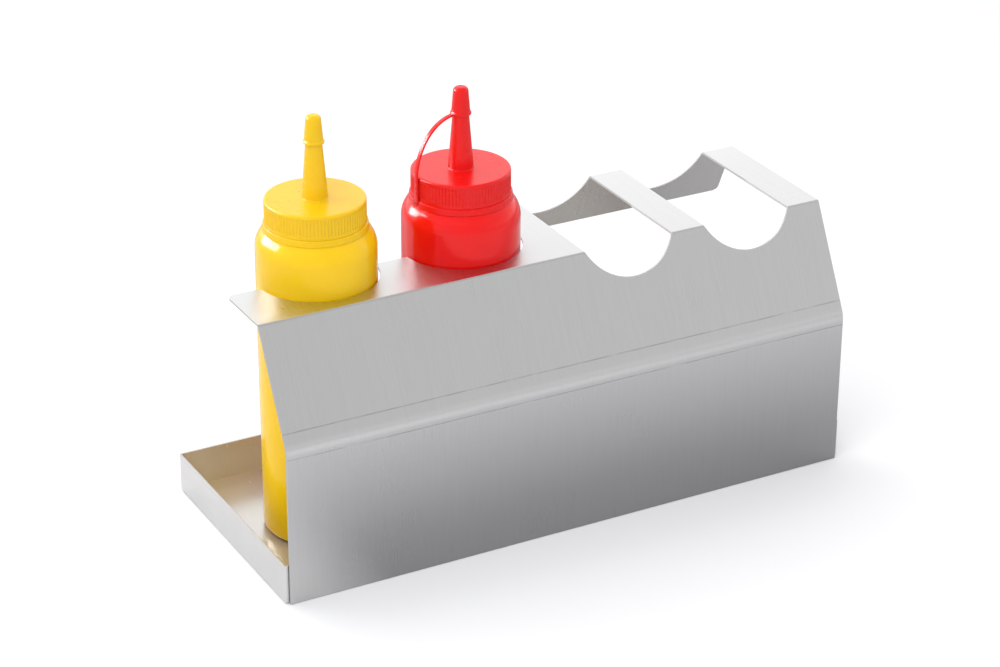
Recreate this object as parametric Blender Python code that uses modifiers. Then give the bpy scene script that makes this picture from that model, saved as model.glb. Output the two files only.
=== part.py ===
"""Counter stand for hot dogs and sauce bottles, with its two squeeze bottles.

Metres, +Z up. The origin is on the counter, at the middle of the tray's footprint.
X runs along the stand, from the bottles (-X) to the hot-dog cradles (+X). The front faces -Y.
"""

from math import asin, atan2, cos, pi, radians, sin, tan

import bmesh
import bpy
from mathutils import Matrix, Vector

# Sheet metal
SHEET = 0.0012
SHELL_LENGTH = 0.374
SOFT_BEND_RADIUS = 0.010
SHARP_BEND_RADIUS = 0.0022
BEND_SEGMENTS = 4
CORNER_RADIUS = 0.0025

# Shell profile, from the front panel's outer face (y) and the counter (z)
PANEL_HEIGHT = 0.099
DECK_HEIGHT = 0.163
SLOPE_SETBACK = 0.033
DECK_DEPTH = 0.098
FLANGE_DROP = 0.0355
FLANGE_REACH = 0.016

# Drip tray
TRAY_DEPTH = 0.154
TRAY_HEIGHT = 0.025
TRAY_OVERHANG = 0.0025
TRAY_CORNER_RADIUS = 0.0015
PANEL_GAP = 0.0006

# Cut-outs
STRIP_WIDTH = 0.0222
CRADLE_WIDTH = 0.060
CRADLE_FRONT_DEPTH = 0.0182
CRADLE_REAR_DEPTH = 0.0223
BOTTLE_DECK_DEPTH = 0.043
BOTTLE_NOTCH_RADIUS = 0.0365
ARC_STEPS = 28

# Squeeze bottles
BOTTLE_STRIP_WIDTH = 0.0209
BOTTLE_DISTANCE = 0.0937
BOTTLE_BEHIND_EDGE = 0.002
CLEARANCE = 0.0003
EDGE = 0.0005
BODY_RADIUS = 0.0352
BODY_WALL = 0.0013
SHOULDER_Z = 0.1852
SHOULDER_ROUNDING = 0.012
LEDGE_RADIUS = 0.0303
LEDGE_Z = 0.1936
NECK_RADIUS = 0.0250
NECK_WALL = 0.0020
NECK_TOP_Z = 0.2099
BASE_ROUNDING = 0.0035
FOOT_WIDTH = 0.003
BASE_RECESS = 0.0008
RECESS_SLOPE = 0.002
TURN_STEPS = 40
SHOULDER_STEPS = 5
ROUNDING_STEPS = 3

# Screw cap and nozzle
CAP_RADIUS = 0.0294
CAP_SKIRT_WALL = 0.0022
CAP_BOTTOM_Z = 0.1971
CAP_TOP_Z = 0.2120
CAP_PLATE = 0.0016
CAP_ROUNDING = 0.0015
NOZZLE_BASE_RADIUS = 0.0076
NOZZLE_BASE_WALL = 0.0014
NOZZLE_SEAT_RADIUS = 0.0048
NOZZLE_SEAT_WALL = 0.0024
NOZZLE_SEAT_Z = 0.2460
NOZZLE_STEP = 0.0010
NOZZLE_SPIGOT_RADIUS = 0.0037
NOZZLE_END_RADIUS = 0.0029
NOZZLE_END_Z = 0.2575
NOZZLE_BORE_RADIUS = 0.0015
NOZZLE_BORE_Z = 0.2480

# Screw threads: round ridges on the neck and inside the skirt, half a pitch apart, so that they mesh
THREAD_PITCH = 0.004
THREAD_STANDOFF = 0.0006
NECK_RIDGE_RADIUS = 0.0009
NECK_RIDGE_Z = 0.2006
NECK_RIDGE_TURNS = 1.75
CAP_RIDGE_RADIUS = 0.0008
CAP_RIDGE_Z = 0.1986
CAP_RIDGE_TURNS = 1.5
RIDGE_STEPS = 32
RIDGE_RESOLUTION = 1

# Tether ring and strap
RING_HOLE_RADIUS = 0.0269
RING_BOTTOM_RADIUS = 0.0309
RING_TOP_RADIUS = 0.0302
STRAP_THICKNESS = 0.0013
STRAP_WIDTH = 0.0032
STRAP_FOOT_WIDTH = 0.0046
STRAP_FOOT_STEPS = 4
STRAP_STEPS = 16
STRAP_BEND_Z = 0.2110
STRAP_LOWER_HANDLE = 0.013
STRAP_UPPER_HANDLE = (0.0168, -0.0025)
MUSTARD_STRAP_ANGLE = radians(61.0)
KETCHUP_STRAP_ANGLE = radians(184.0)

# Tip cap
TIP_RIM_Z = 0.2452
TIP_RIM_RADIUS = 0.0062
TIP_RIM_HEIGHT = 0.0012
TIP_RIM_FLARE = 0.0010
TIP_SKIRT_RADIUS = 0.0055
TIP_NECK_RADIUS = 0.0043
TIP_TOP_Z = 0.2620
TIP_ROUNDING = 0.0028
TIP_GAP = 0.0004
TIP_STEPS = 24

# Finishes
STEEL = (0.62, 0.62, 0.63, 1.0)
MUSTARD = (0.95, 0.60, 0.02, 1.0)
KETCHUP = (0.80, 0.02, 0.02, 1.0)
SHELL_ROUGHNESS = 0.34
TRAY_ROUGHNESS = 0.28
BOTTLE_ROUGHNESS = 0.18
CAP_ROUGHNESS = 0.32

# Working values
ORIGIN_Y = TRAY_DEPTH / 2
FRONT_Y = -ORIGIN_Y
LEFT_X = -SHELL_LENGTH / 2
RIGHT_X = SHELL_LENGTH / 2
DECK_FRONT_Y = FRONT_Y + SLOPE_SETBACK
DECK_REAR_Y = DECK_FRONT_Y + DECK_DEPTH
BOTTLE_DECK_REAR_Y = DECK_FRONT_Y + BOTTLE_DECK_DEPTH
BOTTLE_Y = BOTTLE_DECK_REAR_Y + BOTTLE_BEHIND_EDGE
FIRST_BOTTLE_X = LEFT_X + BOTTLE_STRIP_WIDTH + BOTTLE_NOTCH_RADIUS
SECOND_BOTTLE_X = FIRST_BOTTLE_X + BOTTLE_DISTANCE
BOTTLE_BOTTOM_Z = SHEET + CLEARANCE
CUT_MARGIN = 0.020


def clear_scene():
    for item in list(bpy.data.objects):
        bpy.data.objects.remove(item, do_unlink=True)


def new_collection(name):
    collection = bpy.data.collections.new(name)
    bpy.context.scene.collection.children.link(collection)
    return collection


def steel_material(name, roughness):
    material = bpy.data.materials.new(name)
    material.use_nodes = True
    shader = material.node_tree.nodes["Principled BSDF"]
    shader.inputs["Base Color"].default_value = STEEL
    shader.inputs["Metallic"].default_value = 1.0
    shader.inputs["Roughness"].default_value = roughness
    return material


def plastic_material(name, color, roughness):
    material = bpy.data.materials.new(name)
    material.use_nodes = True
    shader = material.node_tree.nodes["Principled BSDF"]
    shader.inputs["Base Color"].default_value = color
    shader.inputs["Metallic"].default_value = 0.0
    shader.inputs["Roughness"].default_value = roughness
    return material


def add_object(name, bm, collection, material=None):
    """Turn a bmesh into an object of the collection."""
    mesh = bpy.data.meshes.new(name)
    bm.to_mesh(mesh)
    bm.free()
    obj = bpy.data.objects.new(name, mesh)
    collection.objects.link(obj)
    if material:
        mesh.materials.append(material)
    return obj


def arc_points(center, radius, start, end, steps):
    """Points on a circle from one angle to the other, both ends included."""
    points = []
    for step in range(steps + 1):
        angle = start + (end - start) * step / steps
        points.append((center[0] + radius * cos(angle), center[1] + radius * sin(angle)))
    return points


def rounded_path(corners, radii, segments):
    """An open path through the corners, each inner corner replaced by an arc."""
    points = [Vector(corners[0])]
    for before, corner, after, radius in zip(corners, corners[1:], corners[2:], radii):
        corner = Vector(corner)
        back = (Vector(before) - corner).normalized()
        ahead = (Vector(after) - corner).normalized()
        half_angle = back.angle(ahead) / 2
        bisector = (back + ahead).normalized()
        center = corner + bisector * (radius / sin(half_angle))
        first = corner + back * (radius / tan(half_angle)) - center
        last = corner + ahead * (radius / tan(half_angle)) - center
        turn = atan2(first.cross(last), first.dot(last))
        for step in range(segments + 1):
            points.append(center + Matrix.Rotation(turn * step / segments, 2) @ first)
    points.append(Vector(corners[-1]))
    return points


# Cutters


def prism_cutter(name, outline, plane, low, high, cutters):
    """A closed outline in the XY or XZ plane, extruded along the third axis from low to high."""
    curve = bpy.data.curves.new(name, "CURVE")
    curve.dimensions = "2D"
    curve.fill_mode = "BOTH"
    curve.extrude = (high - low) / 2
    spline = curve.splines.new("POLY")
    spline.points.add(len(outline) - 1)
    for point, (u, v) in zip(spline.points, outline):
        point.co = (u, v, 0.0, 1.0)
    spline.use_cyclic_u = True
    guide = bpy.data.objects.new(name + "_outline", curve)
    cutters.objects.link(guide)
    middle = (low + high) / 2
    if plane == "XY":
        guide.location = (0.0, 0.0, middle)
    else:
        guide.rotation_euler = (pi / 2, 0.0, 0.0)
        guide.location = (0.0, middle, 0.0)
    return meshed_curve(guide, name, cutters)


def meshed_curve(guide, name, collection):
    """Replace a curve object by a closed mesh with welded caps."""
    bpy.context.view_layer.update()
    evaluated = guide.evaluated_get(bpy.context.evaluated_depsgraph_get())
    mesh = bpy.data.meshes.new_from_object(evaluated)
    bm = bmesh.new()
    bm.from_mesh(mesh)
    bmesh.ops.remove_doubles(bm, verts=bm.verts, dist=1e-7)
    bmesh.ops.recalc_face_normals(bm, faces=bm.faces)
    bm.to_mesh(mesh)
    bm.free()
    mesh.name = name
    obj = bpy.data.objects.new(name, mesh)
    obj.matrix_world = guide.matrix_world.copy()
    collection.objects.link(obj)
    bpy.data.objects.remove(guide, do_unlink=True)
    return obj


def boolean(obj, tool, operation):
    tool.hide_render = True
    tool.display_type = "WIRE"
    modifier = obj.modifiers.new(tool.name, "BOOLEAN")
    modifier.operation = operation
    modifier.solver = "EXACT"
    modifier.object = tool


# Stand


def bottle_deck_outline():
    """The area removed behind the bottle deck: its back edge has a half-round notch for each bottle."""
    left = LEFT_X - CUT_MARGIN
    back = DECK_REAR_Y + FLANGE_REACH + CUT_MARGIN
    corner = (LEFT_X + CORNER_RADIUS, BOTTLE_DECK_REAR_Y - CORNER_RADIUS)
    outline = [(left, back), (left, corner[1])]
    outline += arc_points(corner, CORNER_RADIUS, pi, pi / 2, BEND_SEGMENTS)
    lift = asin(BOTTLE_BEHIND_EDGE / BOTTLE_NOTCH_RADIUS)
    for center_x in (FIRST_BOTTLE_X, SECOND_BOTTLE_X):
        end = 2 * pi if center_x == SECOND_BOTTLE_X else 2 * pi - lift
        outline += arc_points((center_x, BOTTLE_Y), BOTTLE_NOTCH_RADIUS, pi + lift, end, ARC_STEPS)
    outline.append((SECOND_BOTTLE_X + BOTTLE_NOTCH_RADIUS, back))
    return outline


def cradle_outline(center_x, depth):
    """A hot-dog cradle seen from the front: straight sides above the deck, an arc below it."""
    half = CRADLE_WIDTH / 2
    radius = (half**2 + depth**2) / (2 * depth)
    center = (center_x, DECK_HEIGHT - depth + radius)
    reach = asin(half / radius)
    outline = arc_points(center, radius, -pi / 2 - reach, -pi / 2 + reach, ARC_STEPS)
    outline.append((center_x + half, DECK_HEIGHT + CUT_MARGIN))
    outline.append((center_x - half, DECK_HEIGHT + CUT_MARGIN))
    return outline


def flange_corner_outline(corner_x, side):
    """What rounding takes off a lower corner of the rear flange, seen from the front."""
    low_z = DECK_HEIGHT - FLANGE_DROP
    center = (corner_x - side * CORNER_RADIUS, low_z + CORNER_RADIUS)
    start = -pi / 2
    end = 0.0 if side > 0 else -pi
    outline = arc_points(center, CORNER_RADIUS, start, end, BEND_SEGMENTS)
    outline.append((corner_x + side * CORNER_RADIUS, low_z + CORNER_RADIUS))
    outline.append((corner_x + side * CORNER_RADIUS, low_z - CORNER_RADIUS))
    outline.append((center[0], low_z - CORNER_RADIUS))
    return outline


def shell_profile():
    """The folded sheet's outer face in the YZ plane, from the counter over the deck to the flange's edge."""
    corners = [
        (FRONT_Y, 0.0),
        (FRONT_Y, PANEL_HEIGHT),
        (DECK_FRONT_Y, DECK_HEIGHT),
        (DECK_REAR_Y, DECK_HEIGHT),
        (DECK_REAR_Y + FLANGE_REACH, DECK_HEIGHT - FLANGE_DROP),
    ]
    radii = [SOFT_BEND_RADIUS, SHARP_BEND_RADIUS, SHARP_BEND_RADIUS]
    return rounded_path(corners, radii, BEND_SEGMENTS)


def extruded_strip(profile):
    """An open surface: the profile carried along X, with its normals on the outer side."""
    bm = bmesh.new()
    rows = []
    for y, z in profile:
        left = bm.verts.new((LEFT_X, y, z))
        right = bm.verts.new((RIGHT_X, y, z))
        rows.append((left, right))
    for lower, upper in zip(rows, rows[1:]):
        bm.faces.new((lower[0], lower[1], upper[1], upper[0]))
    return bm


def build_front_shell(parts, cutters, cradle_centers):
    shell = add_object("front_shell", extruded_strip(shell_profile()), parts,
                       steel_material("shell_steel", SHELL_ROUGHNESS))
    sheet = shell.modifiers.new("sheet", "SOLIDIFY")
    sheet.thickness = SHEET
    sheet.offset = -1.0
    sheet.use_even_offset = True
    flange_z = DECK_HEIGHT - FLANGE_DROP
    flange_y = DECK_REAR_Y + FLANGE_REACH
    middle_y = (DECK_FRONT_Y + DECK_REAR_Y) / 2
    tools = [prism_cutter("cut_bottle_deck", bottle_deck_outline(), "XY",
                          flange_z - CUT_MARGIN, DECK_HEIGHT + CUT_MARGIN, cutters)]
    for number, center_x in enumerate(cradle_centers, start=1):
        tools.append(prism_cutter(f"cut_cradle_{number}_front", cradle_outline(center_x, CRADLE_FRONT_DEPTH),
                                  "XZ", FRONT_Y - CUT_MARGIN, middle_y + SHEET, cutters))
        tools.append(prism_cutter(f"cut_cradle_{number}_rear", cradle_outline(center_x, CRADLE_REAR_DEPTH),
                                  "XZ", middle_y - SHEET, flange_y + CUT_MARGIN, cutters))
    corners = ((SECOND_BOTTLE_X + BOTTLE_NOTCH_RADIUS, -1), (RIGHT_X, 1))
    for number, (corner_x, side) in enumerate(corners, start=1):
        tools.append(prism_cutter(f"cut_flange_corner_{number}", flange_corner_outline(corner_x, side),
                                  "XZ", DECK_REAR_Y, flange_y + CUT_MARGIN, cutters))
    for tool in tools:
        boolean(shell, tool, "DIFFERENCE")
    return shell


def build_drip_tray(parts):
    """A pan of folded sheet: its front wall stands behind the shell's panel."""
    width = SHELL_LENGTH + 2 * TRAY_OVERHANG
    front = FRONT_Y + SHEET + PANEL_GAP
    back = FRONT_Y + TRAY_DEPTH
    bm = bmesh.new()
    place = Matrix.Translation((0.0, (front + back) / 2, TRAY_HEIGHT / 2))
    size = Matrix.Diagonal((width, back - front, TRAY_HEIGHT, 1.0))
    bmesh.ops.create_cube(bm, size=1.0, matrix=place @ size)
    top = [face for face in bm.faces if face.normal.z > 0.9]
    bmesh.ops.delete(bm, geom=top, context="FACES_ONLY")
    folds = [edge for edge in bm.edges if not edge.is_boundary]
    bmesh.ops.bevel(bm, geom=folds, offset=TRAY_CORNER_RADIUS, segments=ROUNDING_STEPS, profile=0.5,
                     affect="EDGES")
    tray = add_object("drip_tray", bm, parts, steel_material("tray_steel", TRAY_ROUGHNESS))
    sheet = tray.modifiers.new("sheet", "SOLIDIFY")
    sheet.thickness = SHEET
    sheet.offset = -1.0
    sheet.use_even_offset = True
    return tray


# Bottles


def turned(name, profile, collection, material, steps):
    """A profile of (radius, height) points in the XZ plane, turned about Z."""
    bm = bmesh.new()
    verts = [bm.verts.new((radius, 0.0, height)) for radius, height in profile]
    for first, second in zip(verts, verts[1:]):
        bm.edges.new((first, second))
    closed = profile[0][0] > 0.0
    if closed:
        bm.edges.new((verts[-1], verts[0]))
    obj = add_object(name, bm, collection, material)
    screw = obj.modifiers.new("turn", "SCREW")
    screw.axis = "Z"
    screw.angle = 2 * pi
    screw.steps = steps
    screw.render_steps = steps
    screw.use_merge_vertices = True
    screw.merge_threshold = 1e-6
    screw.use_smooth_shade = True
    return obj


def thread_ridge(name, center_radius, ridge_radius, low_z, turns, cutters):
    """A right-hand helical ridge with a round section."""
    curve = bpy.data.curves.new(name, "CURVE")
    curve.dimensions = "3D"
    curve.bevel_depth = ridge_radius
    curve.bevel_resolution = RIDGE_RESOLUTION
    curve.use_fill_caps = True
    spline = curve.splines.new("POLY")
    spline.points.add(int(turns * RIDGE_STEPS))
    for step, point in enumerate(spline.points):
        turn = step / RIDGE_STEPS
        angle = 2 * pi * turn
        point.co = (center_radius * cos(angle), center_radius * sin(angle), low_z + THREAD_PITCH * turn, 1.0)
    guide = bpy.data.objects.new(name + "_line", curve)
    cutters.objects.link(guide)
    return meshed_curve(guide, name, cutters)


def bottle_profile():
    """From the middle of the inside floor, up the inner wall, over the rim and down the outside."""
    inner_body = BODY_RADIUS - BODY_WALL
    inner_neck = NECK_RADIUS - NECK_WALL
    foot_radius = BODY_RADIUS - BASE_ROUNDING
    foot_center = (foot_radius, BOTTLE_BOTTOM_Z + BASE_ROUNDING)
    recess_z = BOTTLE_BOTTOM_Z + BASE_RECESS
    floor_z = recess_z + BODY_WALL
    inner_shoulder = [
        (inner_body, floor_z + BASE_ROUNDING),
        (inner_body, SHOULDER_Z),
        (LEDGE_RADIUS - BODY_WALL / 2, LEDGE_Z - BODY_WALL),
    ]
    outer_shoulder = [
        (LEDGE_RADIUS, LEDGE_Z - EDGE),
        (BODY_RADIUS, SHOULDER_Z),
        (BODY_RADIUS, foot_center[1]),
    ]
    points = [(0.0, floor_z), (foot_radius - BODY_WALL, floor_z)]
    points += rounded_path(inner_shoulder, [SHOULDER_ROUNDING - BODY_WALL], SHOULDER_STEPS)
    points += [
        (inner_neck, LEDGE_Z - BODY_WALL),
        (inner_neck, NECK_TOP_Z),
        (NECK_RADIUS - EDGE, NECK_TOP_Z),
        (NECK_RADIUS, NECK_TOP_Z - EDGE),
        (NECK_RADIUS, LEDGE_Z),
        (LEDGE_RADIUS - EDGE, LEDGE_Z),
    ]
    points += rounded_path(outer_shoulder, [SHOULDER_ROUNDING], SHOULDER_STEPS)[:-1]
    points += arc_points(foot_center, BASE_ROUNDING, 0.0, -pi / 2, ROUNDING_STEPS)
    points += [
        (foot_radius - FOOT_WIDTH, BOTTLE_BOTTOM_Z),
        (foot_radius - FOOT_WIDTH - RECESS_SLOPE, recess_z),
        (0.0, recess_z),
    ]
    return points


def build_bottle(name, center_x, parts, cutters, material):
    bottle = turned(name, bottle_profile(), parts, material, TURN_STEPS)
    bottle.location = (center_x, BOTTLE_Y, 0.0)
    ridge = thread_ridge(name + "_thread", NECK_RADIUS + THREAD_STANDOFF, NECK_RIDGE_RADIUS,
                         NECK_RIDGE_Z, NECK_RIDGE_TURNS, cutters)
    ridge.location = bottle.location
    boolean(bottle, ridge, "UNION")
    return bottle


def screw_cap_profile():
    """From the nozzle's end down its outside, over the plate and down the skirt, then back up inside."""
    skirt_inner = CAP_RADIUS - CAP_SKIRT_WALL
    plate_z = CAP_TOP_Z - CAP_PLATE
    edge_center = (CAP_RADIUS - CAP_ROUNDING, CAP_TOP_Z - CAP_ROUNDING)
    points = [
        (NOZZLE_BORE_RADIUS, NOZZLE_END_Z),
        (NOZZLE_END_RADIUS, NOZZLE_END_Z),
        (NOZZLE_SPIGOT_RADIUS, NOZZLE_SEAT_Z + NOZZLE_STEP),
        (NOZZLE_SEAT_RADIUS, NOZZLE_SEAT_Z),
        (NOZZLE_BASE_RADIUS, CAP_TOP_Z + EDGE),
        (NOZZLE_BASE_RADIUS + EDGE, CAP_TOP_Z),
    ]
    points += arc_points(edge_center, CAP_ROUNDING, pi / 2, 0.0, ROUNDING_STEPS)
    points += [
        (CAP_RADIUS, CAP_BOTTOM_Z),
        (skirt_inner, CAP_BOTTOM_Z),
        (skirt_inner, plate_z),
        (NOZZLE_BASE_RADIUS - NOZZLE_BASE_WALL, plate_z),
        (NOZZLE_SEAT_RADIUS - NOZZLE_SEAT_WALL, NOZZLE_SEAT_Z),
        (NOZZLE_BORE_RADIUS, NOZZLE_BORE_Z),
    ]
    return points


def build_screw_cap(name, center_x, parts, cutters, material):
    cap = turned(name, screw_cap_profile(), parts, material, TURN_STEPS)
    cap.location = (center_x, BOTTLE_Y, 0.0)
    ridge = thread_ridge(name + "_thread", CAP_RADIUS - CAP_SKIRT_WALL - THREAD_STANDOFF, CAP_RIDGE_RADIUS,
                         CAP_RIDGE_Z, CAP_RIDGE_TURNS, cutters)
    ridge.location = cap.location
    boolean(cap, ridge, "UNION")
    return cap


def build_neck_ring(name, center_x, parts, material):
    low = LEDGE_Z + CLEARANCE
    high = CAP_BOTTOM_Z - CLEARANCE
    profile = [
        (RING_HOLE_RADIUS, high),
        (RING_TOP_RADIUS - EDGE, high),
        (RING_TOP_RADIUS, high - EDGE),
        (RING_BOTTOM_RADIUS, low + EDGE),
        (RING_BOTTOM_RADIUS - EDGE, low),
        (RING_HOLE_RADIUS, low),
    ]
    ring = turned(name, profile, parts, material, TURN_STEPS)
    ring.location = (center_x, BOTTLE_Y, 0.0)
    return ring


def strap_path():
    """Middle line of the strap as (radius, height): up beside the skirt, then over to the tip cap's rim."""
    beside = CAP_RADIUS + CLEARANCE + STRAP_THICKNESS / 2
    bend = Vector((beside, STRAP_BEND_Z))
    lower_handle = Vector((beside, STRAP_BEND_Z + STRAP_LOWER_HANDLE))
    end = Vector((TIP_RIM_RADIUS + CLEARANCE, TIP_RIM_Z - EDGE))
    upper_handle = end + Vector(STRAP_UPPER_HANDLE)
    points = [Vector((beside, CAP_BOTTOM_Z))]
    for step in range(STRAP_STEPS + 1):
        t = step / STRAP_STEPS
        s = 1.0 - t
        points.append(s**3 * bend + 3 * s**2 * t * lower_handle + 3 * s * t**2 * upper_handle + t**3 * end)
    return points


def build_strap(name, center_x, azimuth, parts, material):
    """A flat ribbon along the strap's path, wider at its foot, given its thickness by Solidify."""
    bm = bmesh.new()
    rows = []
    for index, (radius, height) in enumerate(strap_path()):
        share = max(0.0, 1.0 - index / STRAP_FOOT_STEPS)
        half = (STRAP_WIDTH + (STRAP_FOOT_WIDTH - STRAP_WIDTH) * share) / 2
        rows.append((bm.verts.new((radius, -half, height)), bm.verts.new((radius, half, height))))
    for lower, upper in zip(rows, rows[1:]):
        bm.faces.new((lower[0], lower[1], upper[1], upper[0]))
    strap = add_object(name, bm, parts, material)
    sheet = strap.modifiers.new("sheet", "SOLIDIFY")
    sheet.thickness = STRAP_THICKNESS
    sheet.offset = 0.0
    sheet.use_even_offset = True
    strap.location = (center_x, BOTTLE_Y, 0.0)
    strap.rotation_euler = (0.0, 0.0, azimuth)
    return strap


def tip_cap_profile():
    """From the top down the outside to the flared rim, then up inside, a small gap from the nozzle's end."""
    top_center = (TIP_NECK_RADIUS - TIP_ROUNDING, TIP_TOP_Z - TIP_ROUNDING)
    seat_radius = NOZZLE_SEAT_RADIUS + TIP_GAP
    spigot_z = NOZZLE_SEAT_Z + NOZZLE_STEP + TIP_GAP
    points = [(0.0, TIP_TOP_Z)]
    points += arc_points(top_center, TIP_ROUNDING, pi / 2, 0.0, ROUNDING_STEPS)
    points += [
        (TIP_SKIRT_RADIUS, TIP_RIM_Z + TIP_RIM_HEIGHT + TIP_RIM_FLARE),
        (TIP_RIM_RADIUS, TIP_RIM_Z + TIP_RIM_HEIGHT),
        (TIP_RIM_RADIUS, TIP_RIM_Z + EDGE),
        (TIP_RIM_RADIUS - EDGE, TIP_RIM_Z),
        (seat_radius, TIP_RIM_Z),
        (seat_radius, NOZZLE_SEAT_Z + TIP_GAP),
        (NOZZLE_SPIGOT_RADIUS + TIP_GAP, spigot_z),
        (NOZZLE_END_RADIUS + TIP_GAP, NOZZLE_END_Z + TIP_GAP),
        (0.0, NOZZLE_END_Z + TIP_GAP),
    ]
    return points


def build_tip_cap(name, center_x, parts, material):
    """Closed at the top, hollow round the nozzle's end."""
    tip = turned(name, tip_cap_profile(), parts, material, TIP_STEPS)
    tip.location = (center_x, BOTTLE_Y, 0.0)
    return tip


def main():
    clear_scene()
    parts = new_collection("hot_dog_and_sauce_stand")
    cutters = new_collection("cutters")
    last_cradle = RIGHT_X - STRIP_WIDTH - CRADLE_WIDTH / 2
    first_cradle = last_cradle - STRIP_WIDTH - CRADLE_WIDTH
    build_front_shell(parts, cutters, (first_cradle, last_cradle))
    build_drip_tray(parts)
    fillings = (
        ("mustard", FIRST_BOTTLE_X, MUSTARD, MUSTARD_STRAP_ANGLE),
        ("ketchup", SECOND_BOTTLE_X, KETCHUP, KETCHUP_STRAP_ANGLE),
    )
    for sauce, center_x, color, strap_azimuth in fillings:
        build_bottle(sauce + "_bottle", center_x, parts, cutters,
                     plastic_material(sauce + "_bottle_plastic", color, BOTTLE_ROUGHNESS))
        build_screw_cap(sauce + "_screw_cap", center_x, parts, cutters,
                        plastic_material(sauce + "_cap_plastic", color, CAP_ROUGHNESS))
        build_neck_ring(sauce + "_neck_ring", center_x, parts,
                        plastic_material(sauce + "_ring_plastic", color, CAP_ROUGHNESS))
        build_strap(sauce + "_strap", center_x, strap_azimuth, parts,
                    plastic_material(sauce + "_strap_plastic", color, CAP_ROUGHNESS))
        build_tip_cap(sauce + "_tip_cap", center_x, parts,
                      plastic_material(sauce + "_tip_plastic", color, CAP_ROUGHNESS))


main()
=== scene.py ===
"""Looks of the counter stand: brushed steel sheet and two glossy squeeze bottles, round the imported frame.

Metres, in the frame's axes: X along the stand, -Y the front, +Z up, the counter at Z = 0.
"""

from math import asin, atan2, ceil, cos, pi, radians, sin, tan

import bmesh
import bpy
from mathutils import Matrix, Vector


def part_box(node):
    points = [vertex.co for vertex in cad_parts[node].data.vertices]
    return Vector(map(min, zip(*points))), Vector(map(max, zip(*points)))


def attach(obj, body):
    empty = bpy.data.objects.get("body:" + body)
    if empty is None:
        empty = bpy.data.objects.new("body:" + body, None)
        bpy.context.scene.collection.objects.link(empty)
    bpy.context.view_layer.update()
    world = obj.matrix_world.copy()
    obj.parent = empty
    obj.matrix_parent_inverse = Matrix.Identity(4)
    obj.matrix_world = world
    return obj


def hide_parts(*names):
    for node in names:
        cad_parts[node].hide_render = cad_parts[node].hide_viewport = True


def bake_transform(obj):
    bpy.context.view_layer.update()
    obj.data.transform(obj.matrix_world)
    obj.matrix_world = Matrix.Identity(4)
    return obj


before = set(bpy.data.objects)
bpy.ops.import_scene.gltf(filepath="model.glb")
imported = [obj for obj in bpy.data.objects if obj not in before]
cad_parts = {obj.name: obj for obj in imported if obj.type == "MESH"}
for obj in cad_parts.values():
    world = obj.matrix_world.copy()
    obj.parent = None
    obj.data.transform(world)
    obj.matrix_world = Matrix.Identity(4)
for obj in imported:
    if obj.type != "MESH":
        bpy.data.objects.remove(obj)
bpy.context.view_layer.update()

# Camera
CAMERA_TARGET = Vector((-0.0098, 0.0, 0.0984))
CAMERA_DISTANCE = 1.7685
CAMERA_AZIMUTH = radians(28.7)
CAMERA_ELEVATION = radians(26.08)
CAMERA_ROLL = radians(0.33)
CAMERA_LENS = 105.7

# Light
FLOOR_SIZE = 14.0
FLOOR_DROP = 0.0002
FLOOR_ROUGHNESS = 0.9
FLOOR_GLOSS = 0.1
FLOOR_COLOR = (0.80, 0.80, 0.81, 1.0)
FLOOR_SEEN_COLOR = (0.90, 0.90, 0.915, 1.0)
FLOOR_MIRRORED_COLOR = (0.79, 0.79, 0.80, 1.0)
# Painted shade: the floor's colour as reflections see it in front of the stand's foot
FLOOR_PAINTED_SHADE_COLOR = (0.42, 0.42, 0.44, 1.0)
FOOT_SHADE_Y = (-0.13, -0.30)
FOOT_SHADE_X = (-0.165, -0.120)
BRIGHT_SIDE = Vector((0.15, 0.92, 0.35)).normalized()
SKY_BRIGHT = 1.38
SKY_DIM = 0.59
ZENITH_SHARE = 0.55
ZENITH_FADE = (0.58, 0.85)
HORIZON_SHARE = 1.30
HORIZON_FADE = (0.16, 0.34)
SIDE_FADE = (-0.9, 0.7)
KEY = {"direction": (-0.269, 0.506, 0.819), "distance": 1.5, "size": (1.20, 0.80), "power": 5.4}
FILL = {"direction": (-0.454, -0.454, 0.766), "distance": 1.8, "size": (1.50, 1.20), "power": 13.5}
GLINT = {"direction": (-0.715, 0.580, 0.390), "distance": 1.2, "size": (0.90, 0.36), "power": 22.0,
         "tilt": radians(21.0)}

# Sheet metal
SHEET = 0.0012
PANEL_HEIGHT = 0.099
SLOPE_SETBACK = 0.033
DECK_DEPTH = 0.098
FLANGE_DROP = 0.0355
FLANGE_REACH = 0.016
SOFT_BEND_RADIUS = 0.016
SHARP_BEND_RADIUS = 0.0022
MARK_BELOW_BEND = 0.0062
MARK_ABOVE_BEND = 0.0095
MARK_WIDTH = 0.0006
MARK_DEPTH = 0.00004
CUT_EDGE = 0.00018

# Cut-outs
STRIP_WIDTH = 0.0222
CRADLE_WIDTH = 0.060
CRADLE_FRONT_DEPTH = 0.0182
CRADLE_REAR_DEPTH = 0.0223
BOTTLE_DECK_DEPTH = 0.043
BOTTLE_NOTCH_RADIUS = 0.0365
CORNER_RADIUS = 0.0025
DECK_CORNER_RADIUS = 0.0045
CUT_MARGIN = 0.020

# Tray
TRAY_CORNER_RADIUS = 0.0015

# Bottles, heights in the frame
BODY_WALL = 0.0013
SHOULDER_START_Z = 0.1821
SHOULDER_STEPS = 12
LEDGE_RADIUS = 0.0303
LEDGE_Z = 0.1936
NECK_RADIUS = 0.0250
NECK_WALL = 0.0020
BASE_ROUNDING = 0.0035
FOOT_WIDTH = 0.003
BASE_RECESS = 0.0008

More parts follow.
